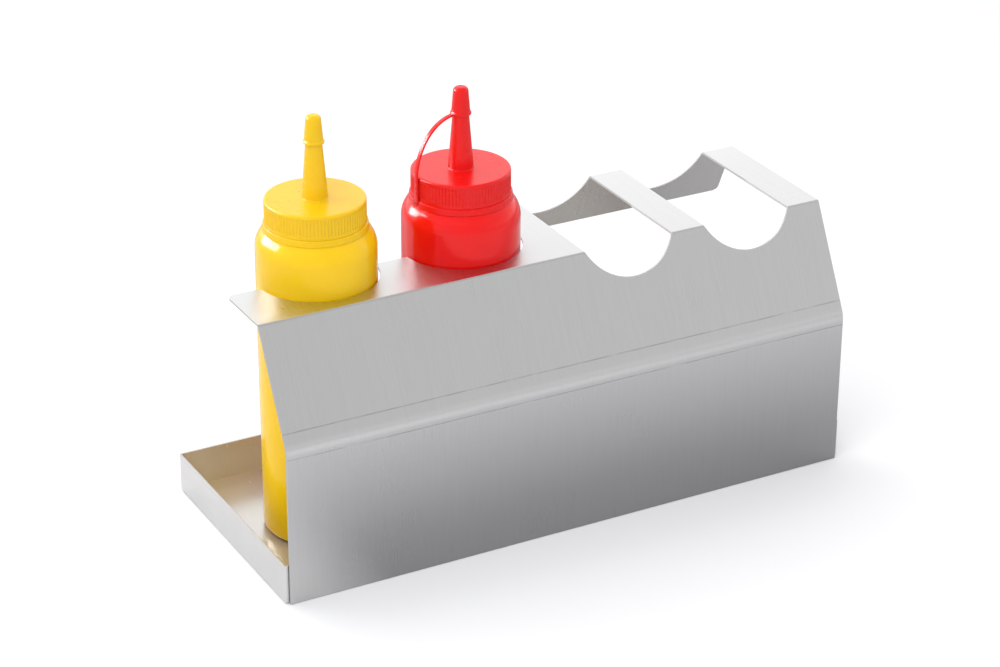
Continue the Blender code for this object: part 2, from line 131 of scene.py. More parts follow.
# Screw caps and nozzles
CAP_SKIRT_WALL = 0.0022
CAP_PLATE = 0.0016
CAP_TOP_Z = 0.2120
RIB_COUNT = 90
RIB_DEPTH = 0.0005
RIB_STEPS = 6
RIB_LOW = 0.0022
RIB_HIGH = 0.0024
NOZZLE_BASE_RADIUS = 0.0076
NOZZLE_SEAT_RADIUS = 0.0048
NOZZLE_SEAT_Z = 0.2460
NOZZLE_STEP = 0.0010
NOZZLE_SPIGOT_RADIUS = 0.0037
NOZZLE_END_RADIUS = 0.0029
NOZZLE_END_Z = 0.2575
NOZZLE_BORE_RADIUS = 0.0015
THREAD_PITCH = 0.004
THREAD_STANDOFF = 0.0006
NECK_RIDGE_RADIUS = 0.0009
NECK_RIDGE_Z = 0.2006
NECK_RIDGE_TURNS = 1.75
CAP_RIDGE_RADIUS = 0.0008
CAP_RIDGE_Z = 0.1986
CAP_RIDGE_TURNS = 1.5

# Tethers
RING_HOLE_RADIUS = 0.0269
RING_TOP_RADIUS = 0.0302
RING_LOW_FLARE = 0.0003
RING_HIGH_FLARE = 0.0006
STRAP_THICKNESS = 0.0013
STRAP_WIDTH = 0.0032
STRAP_FOOT_WIDTH = 0.0046
STRAP_BEND_Z = 0.2110
STRAP_LOWER_HANDLE = 0.013
STRAP_UPPER_HANDLE = Vector((0.0168, -0.0025))
STRAP_GAP = 0.0003
STRAP_FOOT_HEIGHT = 0.007
STRAP_EDGE_SHARE = 0.45
STRAP_ANGLES = {"mustard": radians(61.0), "ketchup": radians(184.0)}
TIP_RIM_HEIGHT = 0.0012
TIP_SKIRT_RADIUS = 0.0055
TIP_NECK_RADIUS = 0.0043
TIP_TOP_ROUNDING = 0.0026
TIP_FLARE_HEIGHT = 0.0010
TIP_GAP = 0.0004

# Smoothness
FILLET = 0.0004
FILLET_STEP = radians(6)
BODY_SEGMENTS = 160
RING_SEGMENTS = 128
TIP_SEGMENTS = 64
CUT_ARC_STEPS = 72
CORNER_STEPS = 8
TRAY_FOLD_STEPS = 7
CUT_EDGE_STEPS = 2
CUT_EDGE_ANGLE = radians(50)
THREAD_STEPS_PER_TURN = 72
THREAD_FADE_STEPS = 12
THREAD_END_SHARE = 0.05
THREAD_SECTION_STEPS = 12
STRAP_LOWER_STEPS = 8
STRAP_CURVE_STEPS = 48
STRAP_EDGE_STEPS = 4
TINY = 1e-6

# Materials; grains are features a metre along X, Y and Z

BODY_COLORS = {
    "mustard": (0.94, 0.565, 0.005, 1.0),
    "ketchup": (0.86, 0.005, 0.005, 1.0),
}
CAP_COLORS = {
    "mustard": (0.84, 0.52, 0.006, 1.0),
    "ketchup": (0.78, 0.006, 0.006, 1.0),
}
SHELL_COLOR = (0.62, 0.62, 0.622, 1.0)
# Painted light: the sheet's inside is a lighter steel than its outside, standing in for light the inside
# lacks
SHELL_INSIDE_PAINTED_LIGHT_COLOR = (0.80, 0.79, 0.765, 1.0)
TRAY_COLOR = (0.73, 0.73, 0.732, 1.0)
TRAY_INSIDE_COLOR = (0.66, 0.65, 0.635, 1.0)
TRAY_INSIDE_METALLIC = 0.65
EDGE_COLOR = (0.50, 0.495, 0.49, 1.0)
SHELL_ROUGHNESS = 0.30
TRAY_ROUGHNESS = 0.33
TRAY_INSIDE_ROUGHNESS = 0.24
EDGE_ROUGHNESS = 0.42
GRAIN_STRETCH = 0.6
TINT_SHARE = 0.05
FINE_GRAIN = (2600.0, 40.0, 40.0)
FINE_SHARE = 0.7
COARSE_GRAIN = (520.0, 14.0, 14.0)
COARSE_SHARE = 0.3
GRAIN_HEIGHT = 0.00002
SMUDGE_GRAIN = (22.0, 22.0, 30.0)
MARK_SHADE = 0.70
MARK_BREAK_GRAIN = (60.0, 30.0, 900.0)
MARK_BREAK_RANGE = (0.34, 0.54)
CLOUD_GRAIN = (35.0, 35.0, 35.0)
WAVE_GRAIN = (70.0, 70.0, 25.0)
WAVE_HEIGHT = 0.00006
PLASTIC_IOR = 1.51
PLASTIC_DEPTH = {"Subsurface Weight": 0.25, "Subsurface Radius": (1.0, 0.45, 0.10), "Subsurface Scale": 0.004}
BODY_SKIN = {"roughness": 0.15, "gloss": 0.32, "grain_per_metre": 900.0, "grain_height": 0.000004}
CAP_SKIN = {"roughness": 0.26, "gloss": 0.30, "grain_per_metre": 1800.0, "grain_height": 0.000002}


# Mesh tools


def arc_points(center, radius, start, end, steps):
    """Points on a circle from one angle to the other, both ends included."""
    points = []
    for step in range(steps + 1):
        angle = start + (end - start) * step / steps
        points.append(Vector((center[0] + radius * cos(angle), center[1] + radius * sin(angle))))
    return points


def rounded_path(corners):
    """An open 2D path through (u, v, radius) corners, each corner with a radius replaced by an arc."""
    points = [Vector(corners[0][:2])]
    for before, corner, after in zip(corners, corners[1:], corners[2:]):
        middle = Vector(corner[:2])
        back = (Vector(before[:2]) - middle).normalized()
        ahead = (Vector(after[:2]) - middle).normalized()
        radius = corner[2]
        if radius == 0.0:
            points.append(middle)
            continue
        half_angle = back.angle(ahead) / 2
        center = middle + (back + ahead).normalized() * (radius / sin(half_angle))
        first = middle + back * (radius / tan(half_angle)) - center
        last = middle + ahead * (radius / tan(half_angle)) - center
        turn = atan2(first.cross(last), first.dot(last))
        steps = max(2, ceil(abs(turn) / FILLET_STEP))
        for step in range(steps + 1):
            points.append(center + Matrix.Rotation(turn * step / steps, 2) @ first)
    points.append(Vector(corners[-1][:2]))
    return points


def add_object(name, bm, smooth=True):
    """Turn a bmesh into an object of the scene."""
    mesh = bpy.data.meshes.new(name)
    bm.to_mesh(mesh)
    bm.free()
    if smooth:
        mesh.shade_smooth()
    obj = bpy.data.objects.new(name, mesh)
    bpy.context.scene.collection.objects.link(obj)
    return obj


def settle(obj):
    """Replace an object's mesh by what its modifiers make of it."""
    graph = bpy.context.evaluated_depsgraph_get()
    mesh = bpy.data.meshes.new_from_object(obj.evaluated_get(graph), depsgraph=graph)
    old = obj.data
    obj.modifiers.clear()
    obj.data = mesh
    bpy.data.meshes.remove(old)


def weigh_normals(obj):
    """Let large flat faces keep flat shading beside their rounded edges."""
    obj.modifiers.new("normals", "WEIGHTED_NORMAL").keep_sharp = True


def prism(name, outline, plane, low, high):
    """A closed outline in the XY or XZ plane, extruded along the third axis from low to high."""
    bm = bmesh.new()
    if plane == "XY":
        corners = [(u, v, low) for u, v in outline]
        shift = Vector((0.0, 0.0, high - low))
    else:
        corners = [(u, low, v) for u, v in outline]
        shift = Vector((0.0, high - low, 0.0))
    face = bm.faces.new([bm.verts.new(corner) for corner in corners])
    grown = bmesh.ops.extrude_face_region(bm, geom=[face])
    moved = [item for item in grown["geom"] if isinstance(item, bmesh.types.BMVert)]
    bmesh.ops.translate(bm, verts=moved, vec=shift)
    bmesh.ops.recalc_face_normals(bm, faces=bm.faces)
    return add_object(name, bm, smooth=False)


def cut_away(obj, tools):
    """Cut the tools out of an object and remove them. The cut faces take the object's second material."""
    for tool in tools:
        for material in obj.data.materials:
            tool.data.materials.append(material)
        for polygon in tool.data.polygons:
            polygon.material_index = 1
        modifier = obj.modifiers.new(tool.name, "BOOLEAN")
        modifier.operation = "DIFFERENCE"
        modifier.solver = "EXACT"
        modifier.object = tool
    settle(obj)
    for tool in tools:
        bpy.data.objects.remove(tool, do_unlink=True)


def break_edges(obj):
    """A fine round on every cut edge of the sheet."""
    bevel = obj.modifiers.new("cut_edges", "BEVEL")
    bevel.width = CUT_EDGE
    bevel.segments = CUT_EDGE_STEPS
    bevel.limit_method = "ANGLE"
    bevel.angle_limit = CUT_EDGE_ANGLE
    bevel.harden_normals = True
    settle(obj)


def turned(name, profile, center, segments, ribs=None):
    """The (radius, height) profile turned about a vertical axis. ribs gives each row's rib depth."""
    bm = bmesh.new()
    rings = []
    for index, (radius, height) in enumerate(profile):
        if radius < TINY:
            rings.append([bm.verts.new((center[0], center[1], height))])
            continue
        ring = []
        for step in range(segments):
            angle = 2 * pi * step / segments
            reach = radius - (ribs[index] * rib_wave(step) if ribs else 0.0)
            x = center[0] + reach * cos(angle)
            y = center[1] + reach * sin(angle)
            ring.append(bm.verts.new((x, y, height)))
        rings.append(ring)
    closed = len(rings[0]) > 1
    following = rings[1:] + (rings[:1] if closed else [])
    for lower, upper in zip(rings, following):
        for step in range(segments):
            ahead = (step + 1) % segments
            corners = [lower[step % len(lower)], lower[ahead % len(lower)],
                       upper[ahead % len(upper)], upper[step % len(upper)]]
            bm.faces.new(list(dict.fromkeys(corners)))
    bmesh.ops.recalc_face_normals(bm, faces=bm.faces)
    return add_object(name, bm)


def rib_wave(step):
    """0 on a rib's crest, 1 at the bottom of the groove between two ribs."""
    return 0.5 + 0.5 * cos(2 * pi * step / RIB_STEPS)


def swept(name, frames, section):
    """The section's (across, out) points carried along frames of point, across axis, out axis and scale."""
    bm = bmesh.new()
    rows = []
    for point, across, out, scale in frames:
        places = [point + across * (u * scale[0]) + out * (v * scale[1]) for u, v in section]
        rows.append([bm.verts.new(place) for place in places])
    count = len(section)
    for lower, upper in zip(rows, rows[1:]):
        for step in range(count):
            ahead = (step + 1) % count
            bm.faces.new((lower[step], lower[ahead], upper[ahead], upper[step]))
    bm.faces.new(rows[0])
    bm.faces.new(rows[-1])
    bmesh.ops.recalc_face_normals(bm, faces=bm.faces)
    return add_object(name, bm)


# Material tools


def new_material(name, color, metallic, roughness):
    """A material with its node tree and its shader, set to plain values."""
    material = bpy.data.materials.new(name)
    material.use_nodes = True
    shader = material.node_tree.nodes["Principled BSDF"]
    shader.inputs["Base Color"].default_value = color
    shader.inputs["Metallic"].default_value = metallic
    shader.inputs["Roughness"].default_value = roughness
    return material, material.node_tree, shader


def add_node(tree, kind, values=None, **settings):
    """A node with its settings, and its inputs set to numbers or linked to other nodes' outputs."""
    node = tree.nodes.new(kind)
    for key, value in settings.items():
        setattr(node, key, value)
    for key, value in (values or {}).items():
        if isinstance(value, bpy.types.NodeSocket):
            tree.links.new(value, node.inputs[key])
        else:
            node.inputs[key].default_value = value
    return node


def noise(tree, per_metre, detail=2.0, harshness=0.5):
    """Noise with that many features a metre along X, Y and Z, and it moves with the piece."""
    place = add_node(tree, "ShaderNodeTexCoord").outputs["Object"]
    scaled = add_node(tree, "ShaderNodeMapping", {"Vector": place, "Scale": per_metre}).outputs["Vector"]
    texture = add_node(tree, "ShaderNodeTexNoise",
                       {"Vector": scaled, "Scale": 1.0, "Detail": detail, "Roughness": harshness})
    return texture.outputs["Fac"]


def remap(tree, value, low, high, new_low, new_high):
    values = {"Value": value, "From Min": low, "From Max": high, "To Min": new_low, "To Max": new_high}
    return add_node(tree, "ShaderNodeMapRange", values).outputs["Result"]


def calculate(tree, operation, first, second):
    return add_node(tree, "ShaderNodeMath", {0: first, 1: second}, operation=operation).outputs[0]


def blended(tree, factor, first, second):
    """The first colour where the factor is 0, the second where it is 1."""
    values = {"Factor": factor, 6: first, 7: second}
    return add_node(tree, "ShaderNodeMix", values, data_type="RGBA").outputs[2]


def shaded(color, share):
    """The colour with its three channels scaled."""
    return tuple(channel * share for channel in color[:3]) + (1.0,)


def tinted(tree, color, texture):
    """The colour, a little darker where the texture is low."""
    factor = remap(tree, texture, 0.35, 0.65, 0.0, 1.0)
    return blended(tree, factor, shaded(color, 1.0 - TINT_SHARE), color)


def bump(tree, height, distance):
    values = {"Height": height, "Distance": distance, "Strength": 1.0}
    return add_node(tree, "ShaderNodeBump", values).outputs["Normal"]


def steel(name, metal_color, roughness, mark_heights=(), stretch=0.0, metallic=1.0):
    """Satin sheet with a fine grain up the sheet, soft handling smudges, and marks of the press brake."""
    material, tree, shader = new_material(name, metal_color, metallic, roughness)
    if stretch:
        shader.inputs["Anisotropic"].default_value = stretch
        across = add_node(tree, "ShaderNodeCombineXYZ", {"X": 1.0}).outputs["Vector"]
        tree.links.new(across, shader.inputs["Tangent"])
    fine = noise(tree, FINE_GRAIN, detail=3.0, harshness=0.6)
    coarse = noise(tree, COARSE_GRAIN)
    smudge = noise(tree, SMUDGE_GRAIN, detail=4.0)
    fine_part = calculate(tree, "MULTIPLY", fine, FINE_SHARE)
    coarse_part = calculate(tree, "MULTIPLY", coarse, COARSE_SHARE)
    grain = calculate(tree, "ADD", fine_part, coarse_part)
    color = tinted(tree, metal_color, grain)
    grain_rough = remap(tree, grain, 0.3, 0.7, roughness - 0.02, roughness + 0.02)
    smudge_rough = remap(tree, smudge, 0.35, 0.70, -0.02, 0.03)
    rough = calculate(tree, "ADD", grain_rough, smudge_rough)
    if mark_heights:
        color = blended(tree, brake_marks(tree, mark_heights), color, shaded(metal_color, MARK_SHADE))
    tree.links.new(color, shader.inputs["Base Color"])
    tree.links.new(rough, shader.inputs["Roughness"])
    tree.links.new(bump(tree, grain, GRAIN_HEIGHT), shader.inputs["Normal"])
    return material


def brake_marks(tree, heights):
    """Thin broken lines along X at the given heights, where the press brake's die pressed the sheet."""
    place = add_node(tree, "ShaderNodeTexCoord").outputs["Object"]
    height = add_node(tree, "ShaderNodeSeparateXYZ", {"Vector": place}).outputs["Z"]
    lines = 0.0
    for mark_z in heights:
        away = calculate(tree, "ABSOLUTE", calculate(tree, "SUBTRACT", height, mark_z), 0.0)
        line = remap(tree, away, MARK_WIDTH * 0.3, MARK_WIDTH * 0.8, 1.0, 0.0)
        lines = calculate(tree, "ADD", line, lines)
    broken = noise(tree, MARK_BREAK_GRAIN, detail=3.0, harshness=0.7)
    return calculate(tree, "MULTIPLY", lines, remap(tree, broken, *MARK_BREAK_RANGE, 0.0, 1.0))


def plastic(name, color, roughness, gloss, grain_per_metre, grain_height):
    """Glossy moulded polyethylene: a little light gets in, and the skin is finely uneven."""
    material, tree, shader = new_material(name, color, 0.0, roughness)
    shader.inputs["IOR"].default_value = PLASTIC_IOR
    shader.inputs["Specular IOR Level"].default_value = gloss
    for key, value in PLASTIC_DEPTH.items():
        shader.inputs[key].default_value = value
    cloud = noise(tree, CLOUD_GRAIN, detail=3.0)
    skin = noise(tree, (grain_per_metre,) * 3)
    wave = noise(tree, WAVE_GRAIN, detail=1.0)
    rough = remap(tree, cloud, 0.3, 0.7, roughness - 0.03, roughness + 0.04)
    skin_height = calculate(tree, "MULTIPLY", skin, grain_height)
    wave_height = calculate(tree, "MULTIPLY", wave, WAVE_HEIGHT)
    height = calculate(tree, "ADD", skin_height, wave_height)
    tree.links.new(tinted(tree, color, cloud), shader.inputs["Base Color"])
    tree.links.new(rough, shader.inputs["Roughness"])
    tree.links.new(bump(tree, height, 1.0), shader.inputs["Normal"])
    return material


def finish_piece(piece, body, material, slot, *nodes):
    """Give a piece its body and, if it has none yet, its material, and hide the CAD nodes it stands for. The
    slot is not used.
    """
    if not piece.data.materials:
        piece.data.materials.append(material)
    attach(piece, body)
    if nodes:
        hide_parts(*nodes)


# Stand


def shell_corners(low, high):
    """The folded sheet's outer face as (y, z, bend radius), from the counter to the rear flange's edge."""
    slope = Vector((SLOPE_SETBACK, high.z - PANEL_HEIGHT)).normalized()
    bend = Vector((low.y, PANEL_HEIGHT))
    deck_front = low.y + SLOPE_SETBACK
    deck_rear = deck_front + DECK_DEPTH
    corners = [(low.y, low.z, 0.0)]
    corners += groove(bend - Vector((0.0, MARK_BELOW_BEND)), Vector((0.0, 1.0)))
    corners.append((bend.x, bend.y, SOFT_BEND_RADIUS))
    corners += groove(bend + slope * MARK_ABOVE_BEND, slope)
    corners.append((deck_front, high.z, SHARP_BEND_RADIUS))
    corners.append((deck_rear, high.z, SHARP_BEND_RADIUS))
    corners.append((deck_rear + FLANGE_REACH, high.z - FLANGE_DROP, 0.0))
    return corners


def groove(middle, along):
    """The shallow line that the press brake left, with points beside it that keep the shading flat."""
    bottom = Vector((along.y, -along.x)) * MARK_DEPTH
    points = [middle + along * MARK_WIDTH * share for share in (-1.0, -0.5, 0.0, 0.5, 1.0)]
    points[2] += bottom
    return [(point.x, point.y, 0.0) for point in points]


def folded_sheet(low, high, materials):
    """The bent sheet before it is cut. The materials are for its outside, cut edges and inside."""
    bm = bmesh.new()
    rows = []
    for y, z in rounded_path(shell_corners(low, high)):
        rows.append((bm.verts.new((low.x, y, z)), bm.verts.new((high.x, y, z))))
    for lower, upper in zip(rows, rows[1:]):
        bm.faces.new((lower[0], lower[1], upper[1], upper[0]))
    sheet = add_object("front_shell_sheet", bm)
    for material in materials:
        sheet.data.materials.append(material)
    thickness = thicken(sheet)
    thickness.material_offset_rim = 1
    thickness.material_offset = 2
    return sheet


def thicken(obj):
    """Give an open surface the sheet's thickness, towards its inner side."""
    thickness = obj.modifiers.new("thickness", "SOLIDIFY")
    thickness.thickness = SHEET
    thickness.offset = -1.0
    thickness.use_even_offset = True
    return thickness


def bottle_deck_outline(low, high, bottle_centers):
    """The area removed behind the bottle deck: its back edge has a half-round notch for each bottle."""
    deck_back = low.y + SLOPE_SETBACK + BOTTLE_DECK_DEPTH
    back = high.y + CUT_MARGIN
    corner = (low.x + DECK_CORNER_RADIUS, deck_back - DECK_CORNER_RADIUS)
    outline = [Vector((low.x - CUT_MARGIN, back)), Vector((low.x - CUT_MARGIN, corner[1]))]
    outline += arc_points(corner, DECK_CORNER_RADIUS, pi, pi / 2, CORNER_STEPS)
    last = bottle_centers[-1]
    lift = asin((last[1] - deck_back) / BOTTLE_NOTCH_RADIUS)
    for center in bottle_centers:
        end = 2 * pi if center is last else 2 * pi - lift
        outline += arc_points(center, BOTTLE_NOTCH_RADIUS, pi + lift, end, CUT_ARC_STEPS)
    outline.append(Vector((last[0] + BOTTLE_NOTCH_RADIUS, back)))
    return outline


def cradle_outline(center_x, deck_z, depth):
    """A hot-dog cradle seen from the front: straight sides above the deck, an arc below it."""
    half = CRADLE_WIDTH / 2
    radius = (half**2 + depth**2) / (2 * depth)
    reach = asin(half / radius)
    center = (center_x, deck_z - depth + radius)
    outline = arc_points(center, radius, -pi / 2 - reach, -pi / 2 + reach, CUT_ARC_STEPS)
    outline.append(Vector((center_x + half, deck_z + CUT_MARGIN)))
    outline.append(Vector((center_x - half, deck_z + CUT_MARGIN)))
    return outline


def flange_corner_outline(corner_x, low_z, side):
    """What rounding takes off a lower corner of the rear flange, seen from the front."""
    center = (corner_x - side * CORNER_RADIUS, low_z + CORNER_RADIUS)
    outline = arc_points(center, CORNER_RADIUS, -pi / 2, -pi / 2 + side * pi / 2, CORNER_STEPS)
    outline.append(Vector((corner_x + side * CORNER_RADIUS, low_z + CORNER_RADIUS)))
    outline.append(Vector((corner_x + side * CORNER_RADIUS, low_z - CORNER_RADIUS)))
    outline.append(Vector((center[0], low_z - CORNER_RADIUS)))
    return outline


def build_shell(bottle_centers):
    """The folded sheet with its bottle notches, cradles and rounded corners cut out."""
    low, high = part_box("front_shell")
    slope_rise = (high.z - PANEL_HEIGHT) / Vector((SLOPE_SETBACK, high.z - PANEL_HEIGHT)).length
    marks = (PANEL_HEIGHT - MARK_BELOW_BEND, PANEL_HEIGHT + MARK_ABOVE_BEND * slope_rise)
    skin = steel("shell_brushed_steel", SHELL_COLOR, SHELL_ROUGHNESS, marks, GRAIN_STRETCH)
    edge = steel("shell_cut_edge_steel", EDGE_COLOR, EDGE_ROUGHNESS)
    # Painted light: the inside face gets a lighter copy of the same steel
    inside = steel("shell_inside_steel_painted_light", SHELL_INSIDE_PAINTED_LIGHT_COLOR, SHELL_ROUGHNESS)
    sheet = folded_sheet(low, high, (skin, edge, inside))
    flange_z = high.z - FLANGE_DROP
    deck_rear = low.y + SLOPE_SETBACK + DECK_DEPTH
    middle = deck_rear - DECK_DEPTH / 2
    back = high.y + CUT_MARGIN
    tools = [prism("bottle_deck_cut", bottle_deck_outline(low, high, bottle_centers), "XY",
                   flange_z - CUT_MARGIN, high.z + CUT_MARGIN)]
    for number in (1, 2):
        center_x = high.x - number * STRIP_WIDTH - (number - 0.5) * CRADLE_WIDTH
        front = cradle_outline(center_x, high.z, CRADLE_FRONT_DEPTH)
        rear = cradle_outline(center_x, high.z, CRADLE_REAR_DEPTH)
        tools.append(prism(f"cradle_front_cut_{number}", front, "XZ", low.y - CUT_MARGIN, middle + SHEET))
        tools.append(prism(f"cradle_rear_cut_{number}", rear, "XZ", middle - SHEET, back))
    notch_end = bottle_centers[-1][0] + BOTTLE_NOTCH_RADIUS
    for corner_x, side in ((notch_end, -1), (high.x, 1)):
        corner = flange_corner_outline(corner_x, flange_z, side)
        tools.append(prism(f"flange_corner_cut_{side + 2}", corner, "XZ", deck_rear, back))
    cut_away(sheet, tools)
    break_edges(sheet)
    finish_piece(sheet, "stand", skin, "shell_steel", "front_shell")


def build_tray():
    """The open pan under the stand."""
    low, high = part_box("drip_tray")
    bm = bmesh.new()
    place = Matrix.Translation((low + high) / 2)
    size = Matrix.Diagonal((*(high - low), 1.0))
    bmesh.ops.create_cube(bm, size=1.0, matrix=place @ size)
    top = [face for face in bm.faces if face.normal.z > 0.9]
    bmesh.ops.delete(bm, geom=top, context="FACES_ONLY")
    folds = [edge for edge in bm.edges if not edge.is_boundary]
    bmesh.ops.bevel(bm, geom=folds, offset=TRAY_CORNER_RADIUS, segments=TRAY_FOLD_STEPS,
                      profile=0.5, affect="EDGES")
    tray = add_object("drip_tray_pan", bm)
    skin = steel("tray_brushed_steel", TRAY_COLOR, TRAY_ROUGHNESS)
    inside = steel("tray_inside_steel", TRAY_INSIDE_COLOR, TRAY_INSIDE_ROUGHNESS,
                   metallic=TRAY_INSIDE_METALLIC)
    for material in (skin, inside, steel("tray_cut_edge_steel", EDGE_COLOR, EDGE_ROUGHNESS)):
        tray.data.materials.append(material)
    thickness = thicken(tray)
    thickness.material_offset = 1
    thickness.material_offset_rim = 2
    settle(tray)
    break_edges(tray)
    finish_piece(tray, "stand", skin, "tray_steel", "drip_tray")


# Bottles


def shoulder_corners(body_radius, inset):
    """The domed shoulder from the wall's top to just short of the ledge, moved inwards by the inset."""
    drop = body_radius - LEDGE_RADIUS
    rise = LEDGE_Z - SHOULDER_START_Z
    radius = (rise**2 + drop**2) / (2 * drop)
    center = (body_radius - radius, SHOULDER_START_Z)
    arc = arc_points(center, radius - inset, 0.0, asin(rise / radius), SHOULDER_STEPS)
    return [(point.x, point.y, 0.0) for point in arc[:-1]]


def bottle_profile(low_z, top_z, body_radius):
    """From the middle of the inside floor, up the inner wall, over the rim and down the outside."""
    inner_body = body_radius - BODY_WALL
    inner_neck = NECK_RADIUS - NECK_WALL
    recess_z = low_z + BASE_RECESS
    floor_z = recess_z + BODY_WALL
    foot_inner = body_radius - BASE_ROUNDING - FOOT_WIDTH
    corners = [
        (0.0, floor_z, 0.0),
        (inner_body, floor_z, BASE_ROUNDING),
        *shoulder_corners(body_radius, BODY_WALL),
        (inner_neck, LEDGE_Z - BODY_WALL, FILLET),
        (inner_neck, top_z, FILLET),
        (NECK_RADIUS, top_z, FILLET),
        (NECK_RADIUS, LEDGE_Z, FILLET),
        (LEDGE_RADIUS, LEDGE_Z, FILLET),
        *reversed(shoulder_corners(body_radius, 0.0)),
        (body_radius, low_z, BASE_ROUNDING),
        (foot_inner, low_z, FILLET),
        (foot_inner - 2 * BASE_RECESS, recess_z, FILLET),
        (0.0, recess_z, 0.0),
    ]
    return rounded_path(corners)


def cap_profile(low_z, cap_radius):
    """From the nozzle's end down its outside, over the plate and down the skirt, then back up inside."""
    skirt_inner = cap_radius - CAP_SKIRT_WALL
    plate_z = CAP_TOP_Z - CAP_PLATE
    corners = [
        (NOZZLE_BORE_RADIUS, NOZZLE_END_Z - FILLET, 0.0),
        (NOZZLE_BORE_RADIUS + FILLET, NOZZLE_END_Z, 0.0),
        (NOZZLE_END_RADIUS, NOZZLE_END_Z, FILLET),
        (NOZZLE_SPIGOT_RADIUS, NOZZLE_SEAT_Z + NOZZLE_STEP, FILLET / 2),
        (NOZZLE_SEAT_RADIUS, NOZZLE_SEAT_Z, FILLET / 2),
        (NOZZLE_BASE_RADIUS, CAP_TOP_Z, 2 * FILLET),
        (cap_radius, CAP_TOP_Z, 3.5 * FILLET),
        (cap_radius, CAP_TOP_Z - RIB_HIGH, 0.0),
        (cap_radius, CAP_TOP_Z - RIB_HIGH - FILLET, 0.0),
        (cap_radius, low_z + RIB_LOW + FILLET, 0.0),
        (cap_radius, low_z + RIB_LOW, 0.0),
        (cap_radius, low_z, FILLET),
        (skirt_inner, low_z, FILLET),
        (skirt_inner, plate_z, FILLET),
        (NOZZLE_BASE_RADIUS - CAP_PLATE, plate_z, FILLET),
        (NOZZLE_SEAT_RADIUS / 2, NOZZLE_SEAT_Z, 0.0),
        (NOZZLE_BORE_RADIUS, NOZZLE_SEAT_Z + 2 * NOZZLE_STEP, 0.0),
        (NOZZLE_BORE_RADIUS, NOZZLE_END_Z - 2 * FILLET, 0.0),
    ]
    return rounded_path(corners)


def rib_depths(profile, low_z, cap_radius):
    """Full rib depth on the rows of the skirt's outside between the two plain bands, none elsewhere."""
    depths = []
    for radius, height in profile:
        outside = abs(radius - cap_radius) < TINY
        ribbed = low_z + RIB_LOW + FILLET / 2 < height < CAP_TOP_Z - RIB_HIGH - FILLET / 2
        depths.append(RIB_DEPTH if outside and ribbed else 0.0)
    return depths


def ring_profile(low_z, high_z, low_radius):
    """The tether's loose ring, its outer side leaning in towards the cap. Closed."""
    low_z -= RING_LOW_FLARE
    high_z += RING_HIGH_FLARE
    corners = [
        (RING_HOLE_RADIUS, (low_z + high_z) / 2, 0.0),
        (RING_HOLE_RADIUS, high_z, FILLET),
        (RING_TOP_RADIUS, high_z, FILLET),
        (low_radius, low_z, FILLET),
        (RING_HOLE_RADIUS, low_z, FILLET),
        (RING_HOLE_RADIUS, (low_z + high_z) / 2 - FILLET, 0.0),
    ]
    return rounded_path(corners)


def tip_profile(low_z, top_z, rim_radius):
    """From the top down the outside to the flared rim, then up inside, a small gap from the nozzle's end."""
    seat_radius = NOZZLE_SEAT_RADIUS + TIP_GAP
    corners = [
        (0.0, top_z, 0.0),
        (TIP_NECK_RADIUS, top_z, TIP_TOP_ROUNDING),
        (TIP_SKIRT_RADIUS, low_z + TIP_RIM_HEIGHT + TIP_FLARE_HEIGHT, 2 * FILLET),
        (rim_radius, low_z + TIP_RIM_HEIGHT, FILLET),
        (rim_radius, low_z, FILLET),
        (seat_radius, low_z, FILLET / 2),
        (seat_radius, NOZZLE_SEAT_Z + TIP_GAP, 0.0),
        (NOZZLE_SPIGOT_RADIUS + TIP_GAP, NOZZLE_SEAT_Z + NOZZLE_STEP + TIP_GAP, 0.0),
        (NOZZLE_END_RADIUS + TIP_GAP, NOZZLE_END_Z + TIP_GAP, 0.0),
        (0.0, NOZZLE_END_Z + TIP_GAP, 0.0),
    ]
    return rounded_path(corners)


def round_section(count):
    return [(cos(2 * pi * step / count), sin(2 * pi * step / count)) for step in range(count)]


def strap_section():
    """A flat strip with rounded edges, one unit across and one unit thick."""
    width = STRAP_WIDTH
    thickness = STRAP_THICKNESS
    radius = STRAP_EDGE_SHARE * thickness
    points = []
    for side_u, side_v, start in ((1, 1, 0.0), (-1, 1, pi / 2), (-1, -1, pi), (1, -1, 3 * pi / 2)):
        center = (side_u * (width / 2 - radius), side_v * (thickness / 2 - radius))
        for point in arc_points(center, radius, start, start + pi / 2, STRAP_EDGE_STEPS):
            points.append((point.x / width, point.y / thickness))
    return points


def thread_frames(center, radius, low_z, turns, ridge):
    """A right-hand helix whose section fades to nothing at both ends."""
    frames = []
    steps = int(turns * THREAD_STEPS_PER_TURN)
    for step in range(steps + 1):
        angle = 2 * pi * step / THREAD_STEPS_PER_TURN
        out = Vector((cos(angle), sin(angle), 0.0))
        point = Vector((*center, low_z + THREAD_PITCH * angle / (2 * pi))) + out * radius
        fade = min(1.0, THREAD_END_SHARE + min(step, steps - step) / THREAD_FADE_STEPS)
        frames.append((point, Vector((0.0, 0.0, 1.0)), out, (ridge * fade, ridge * fade)))
    return frames


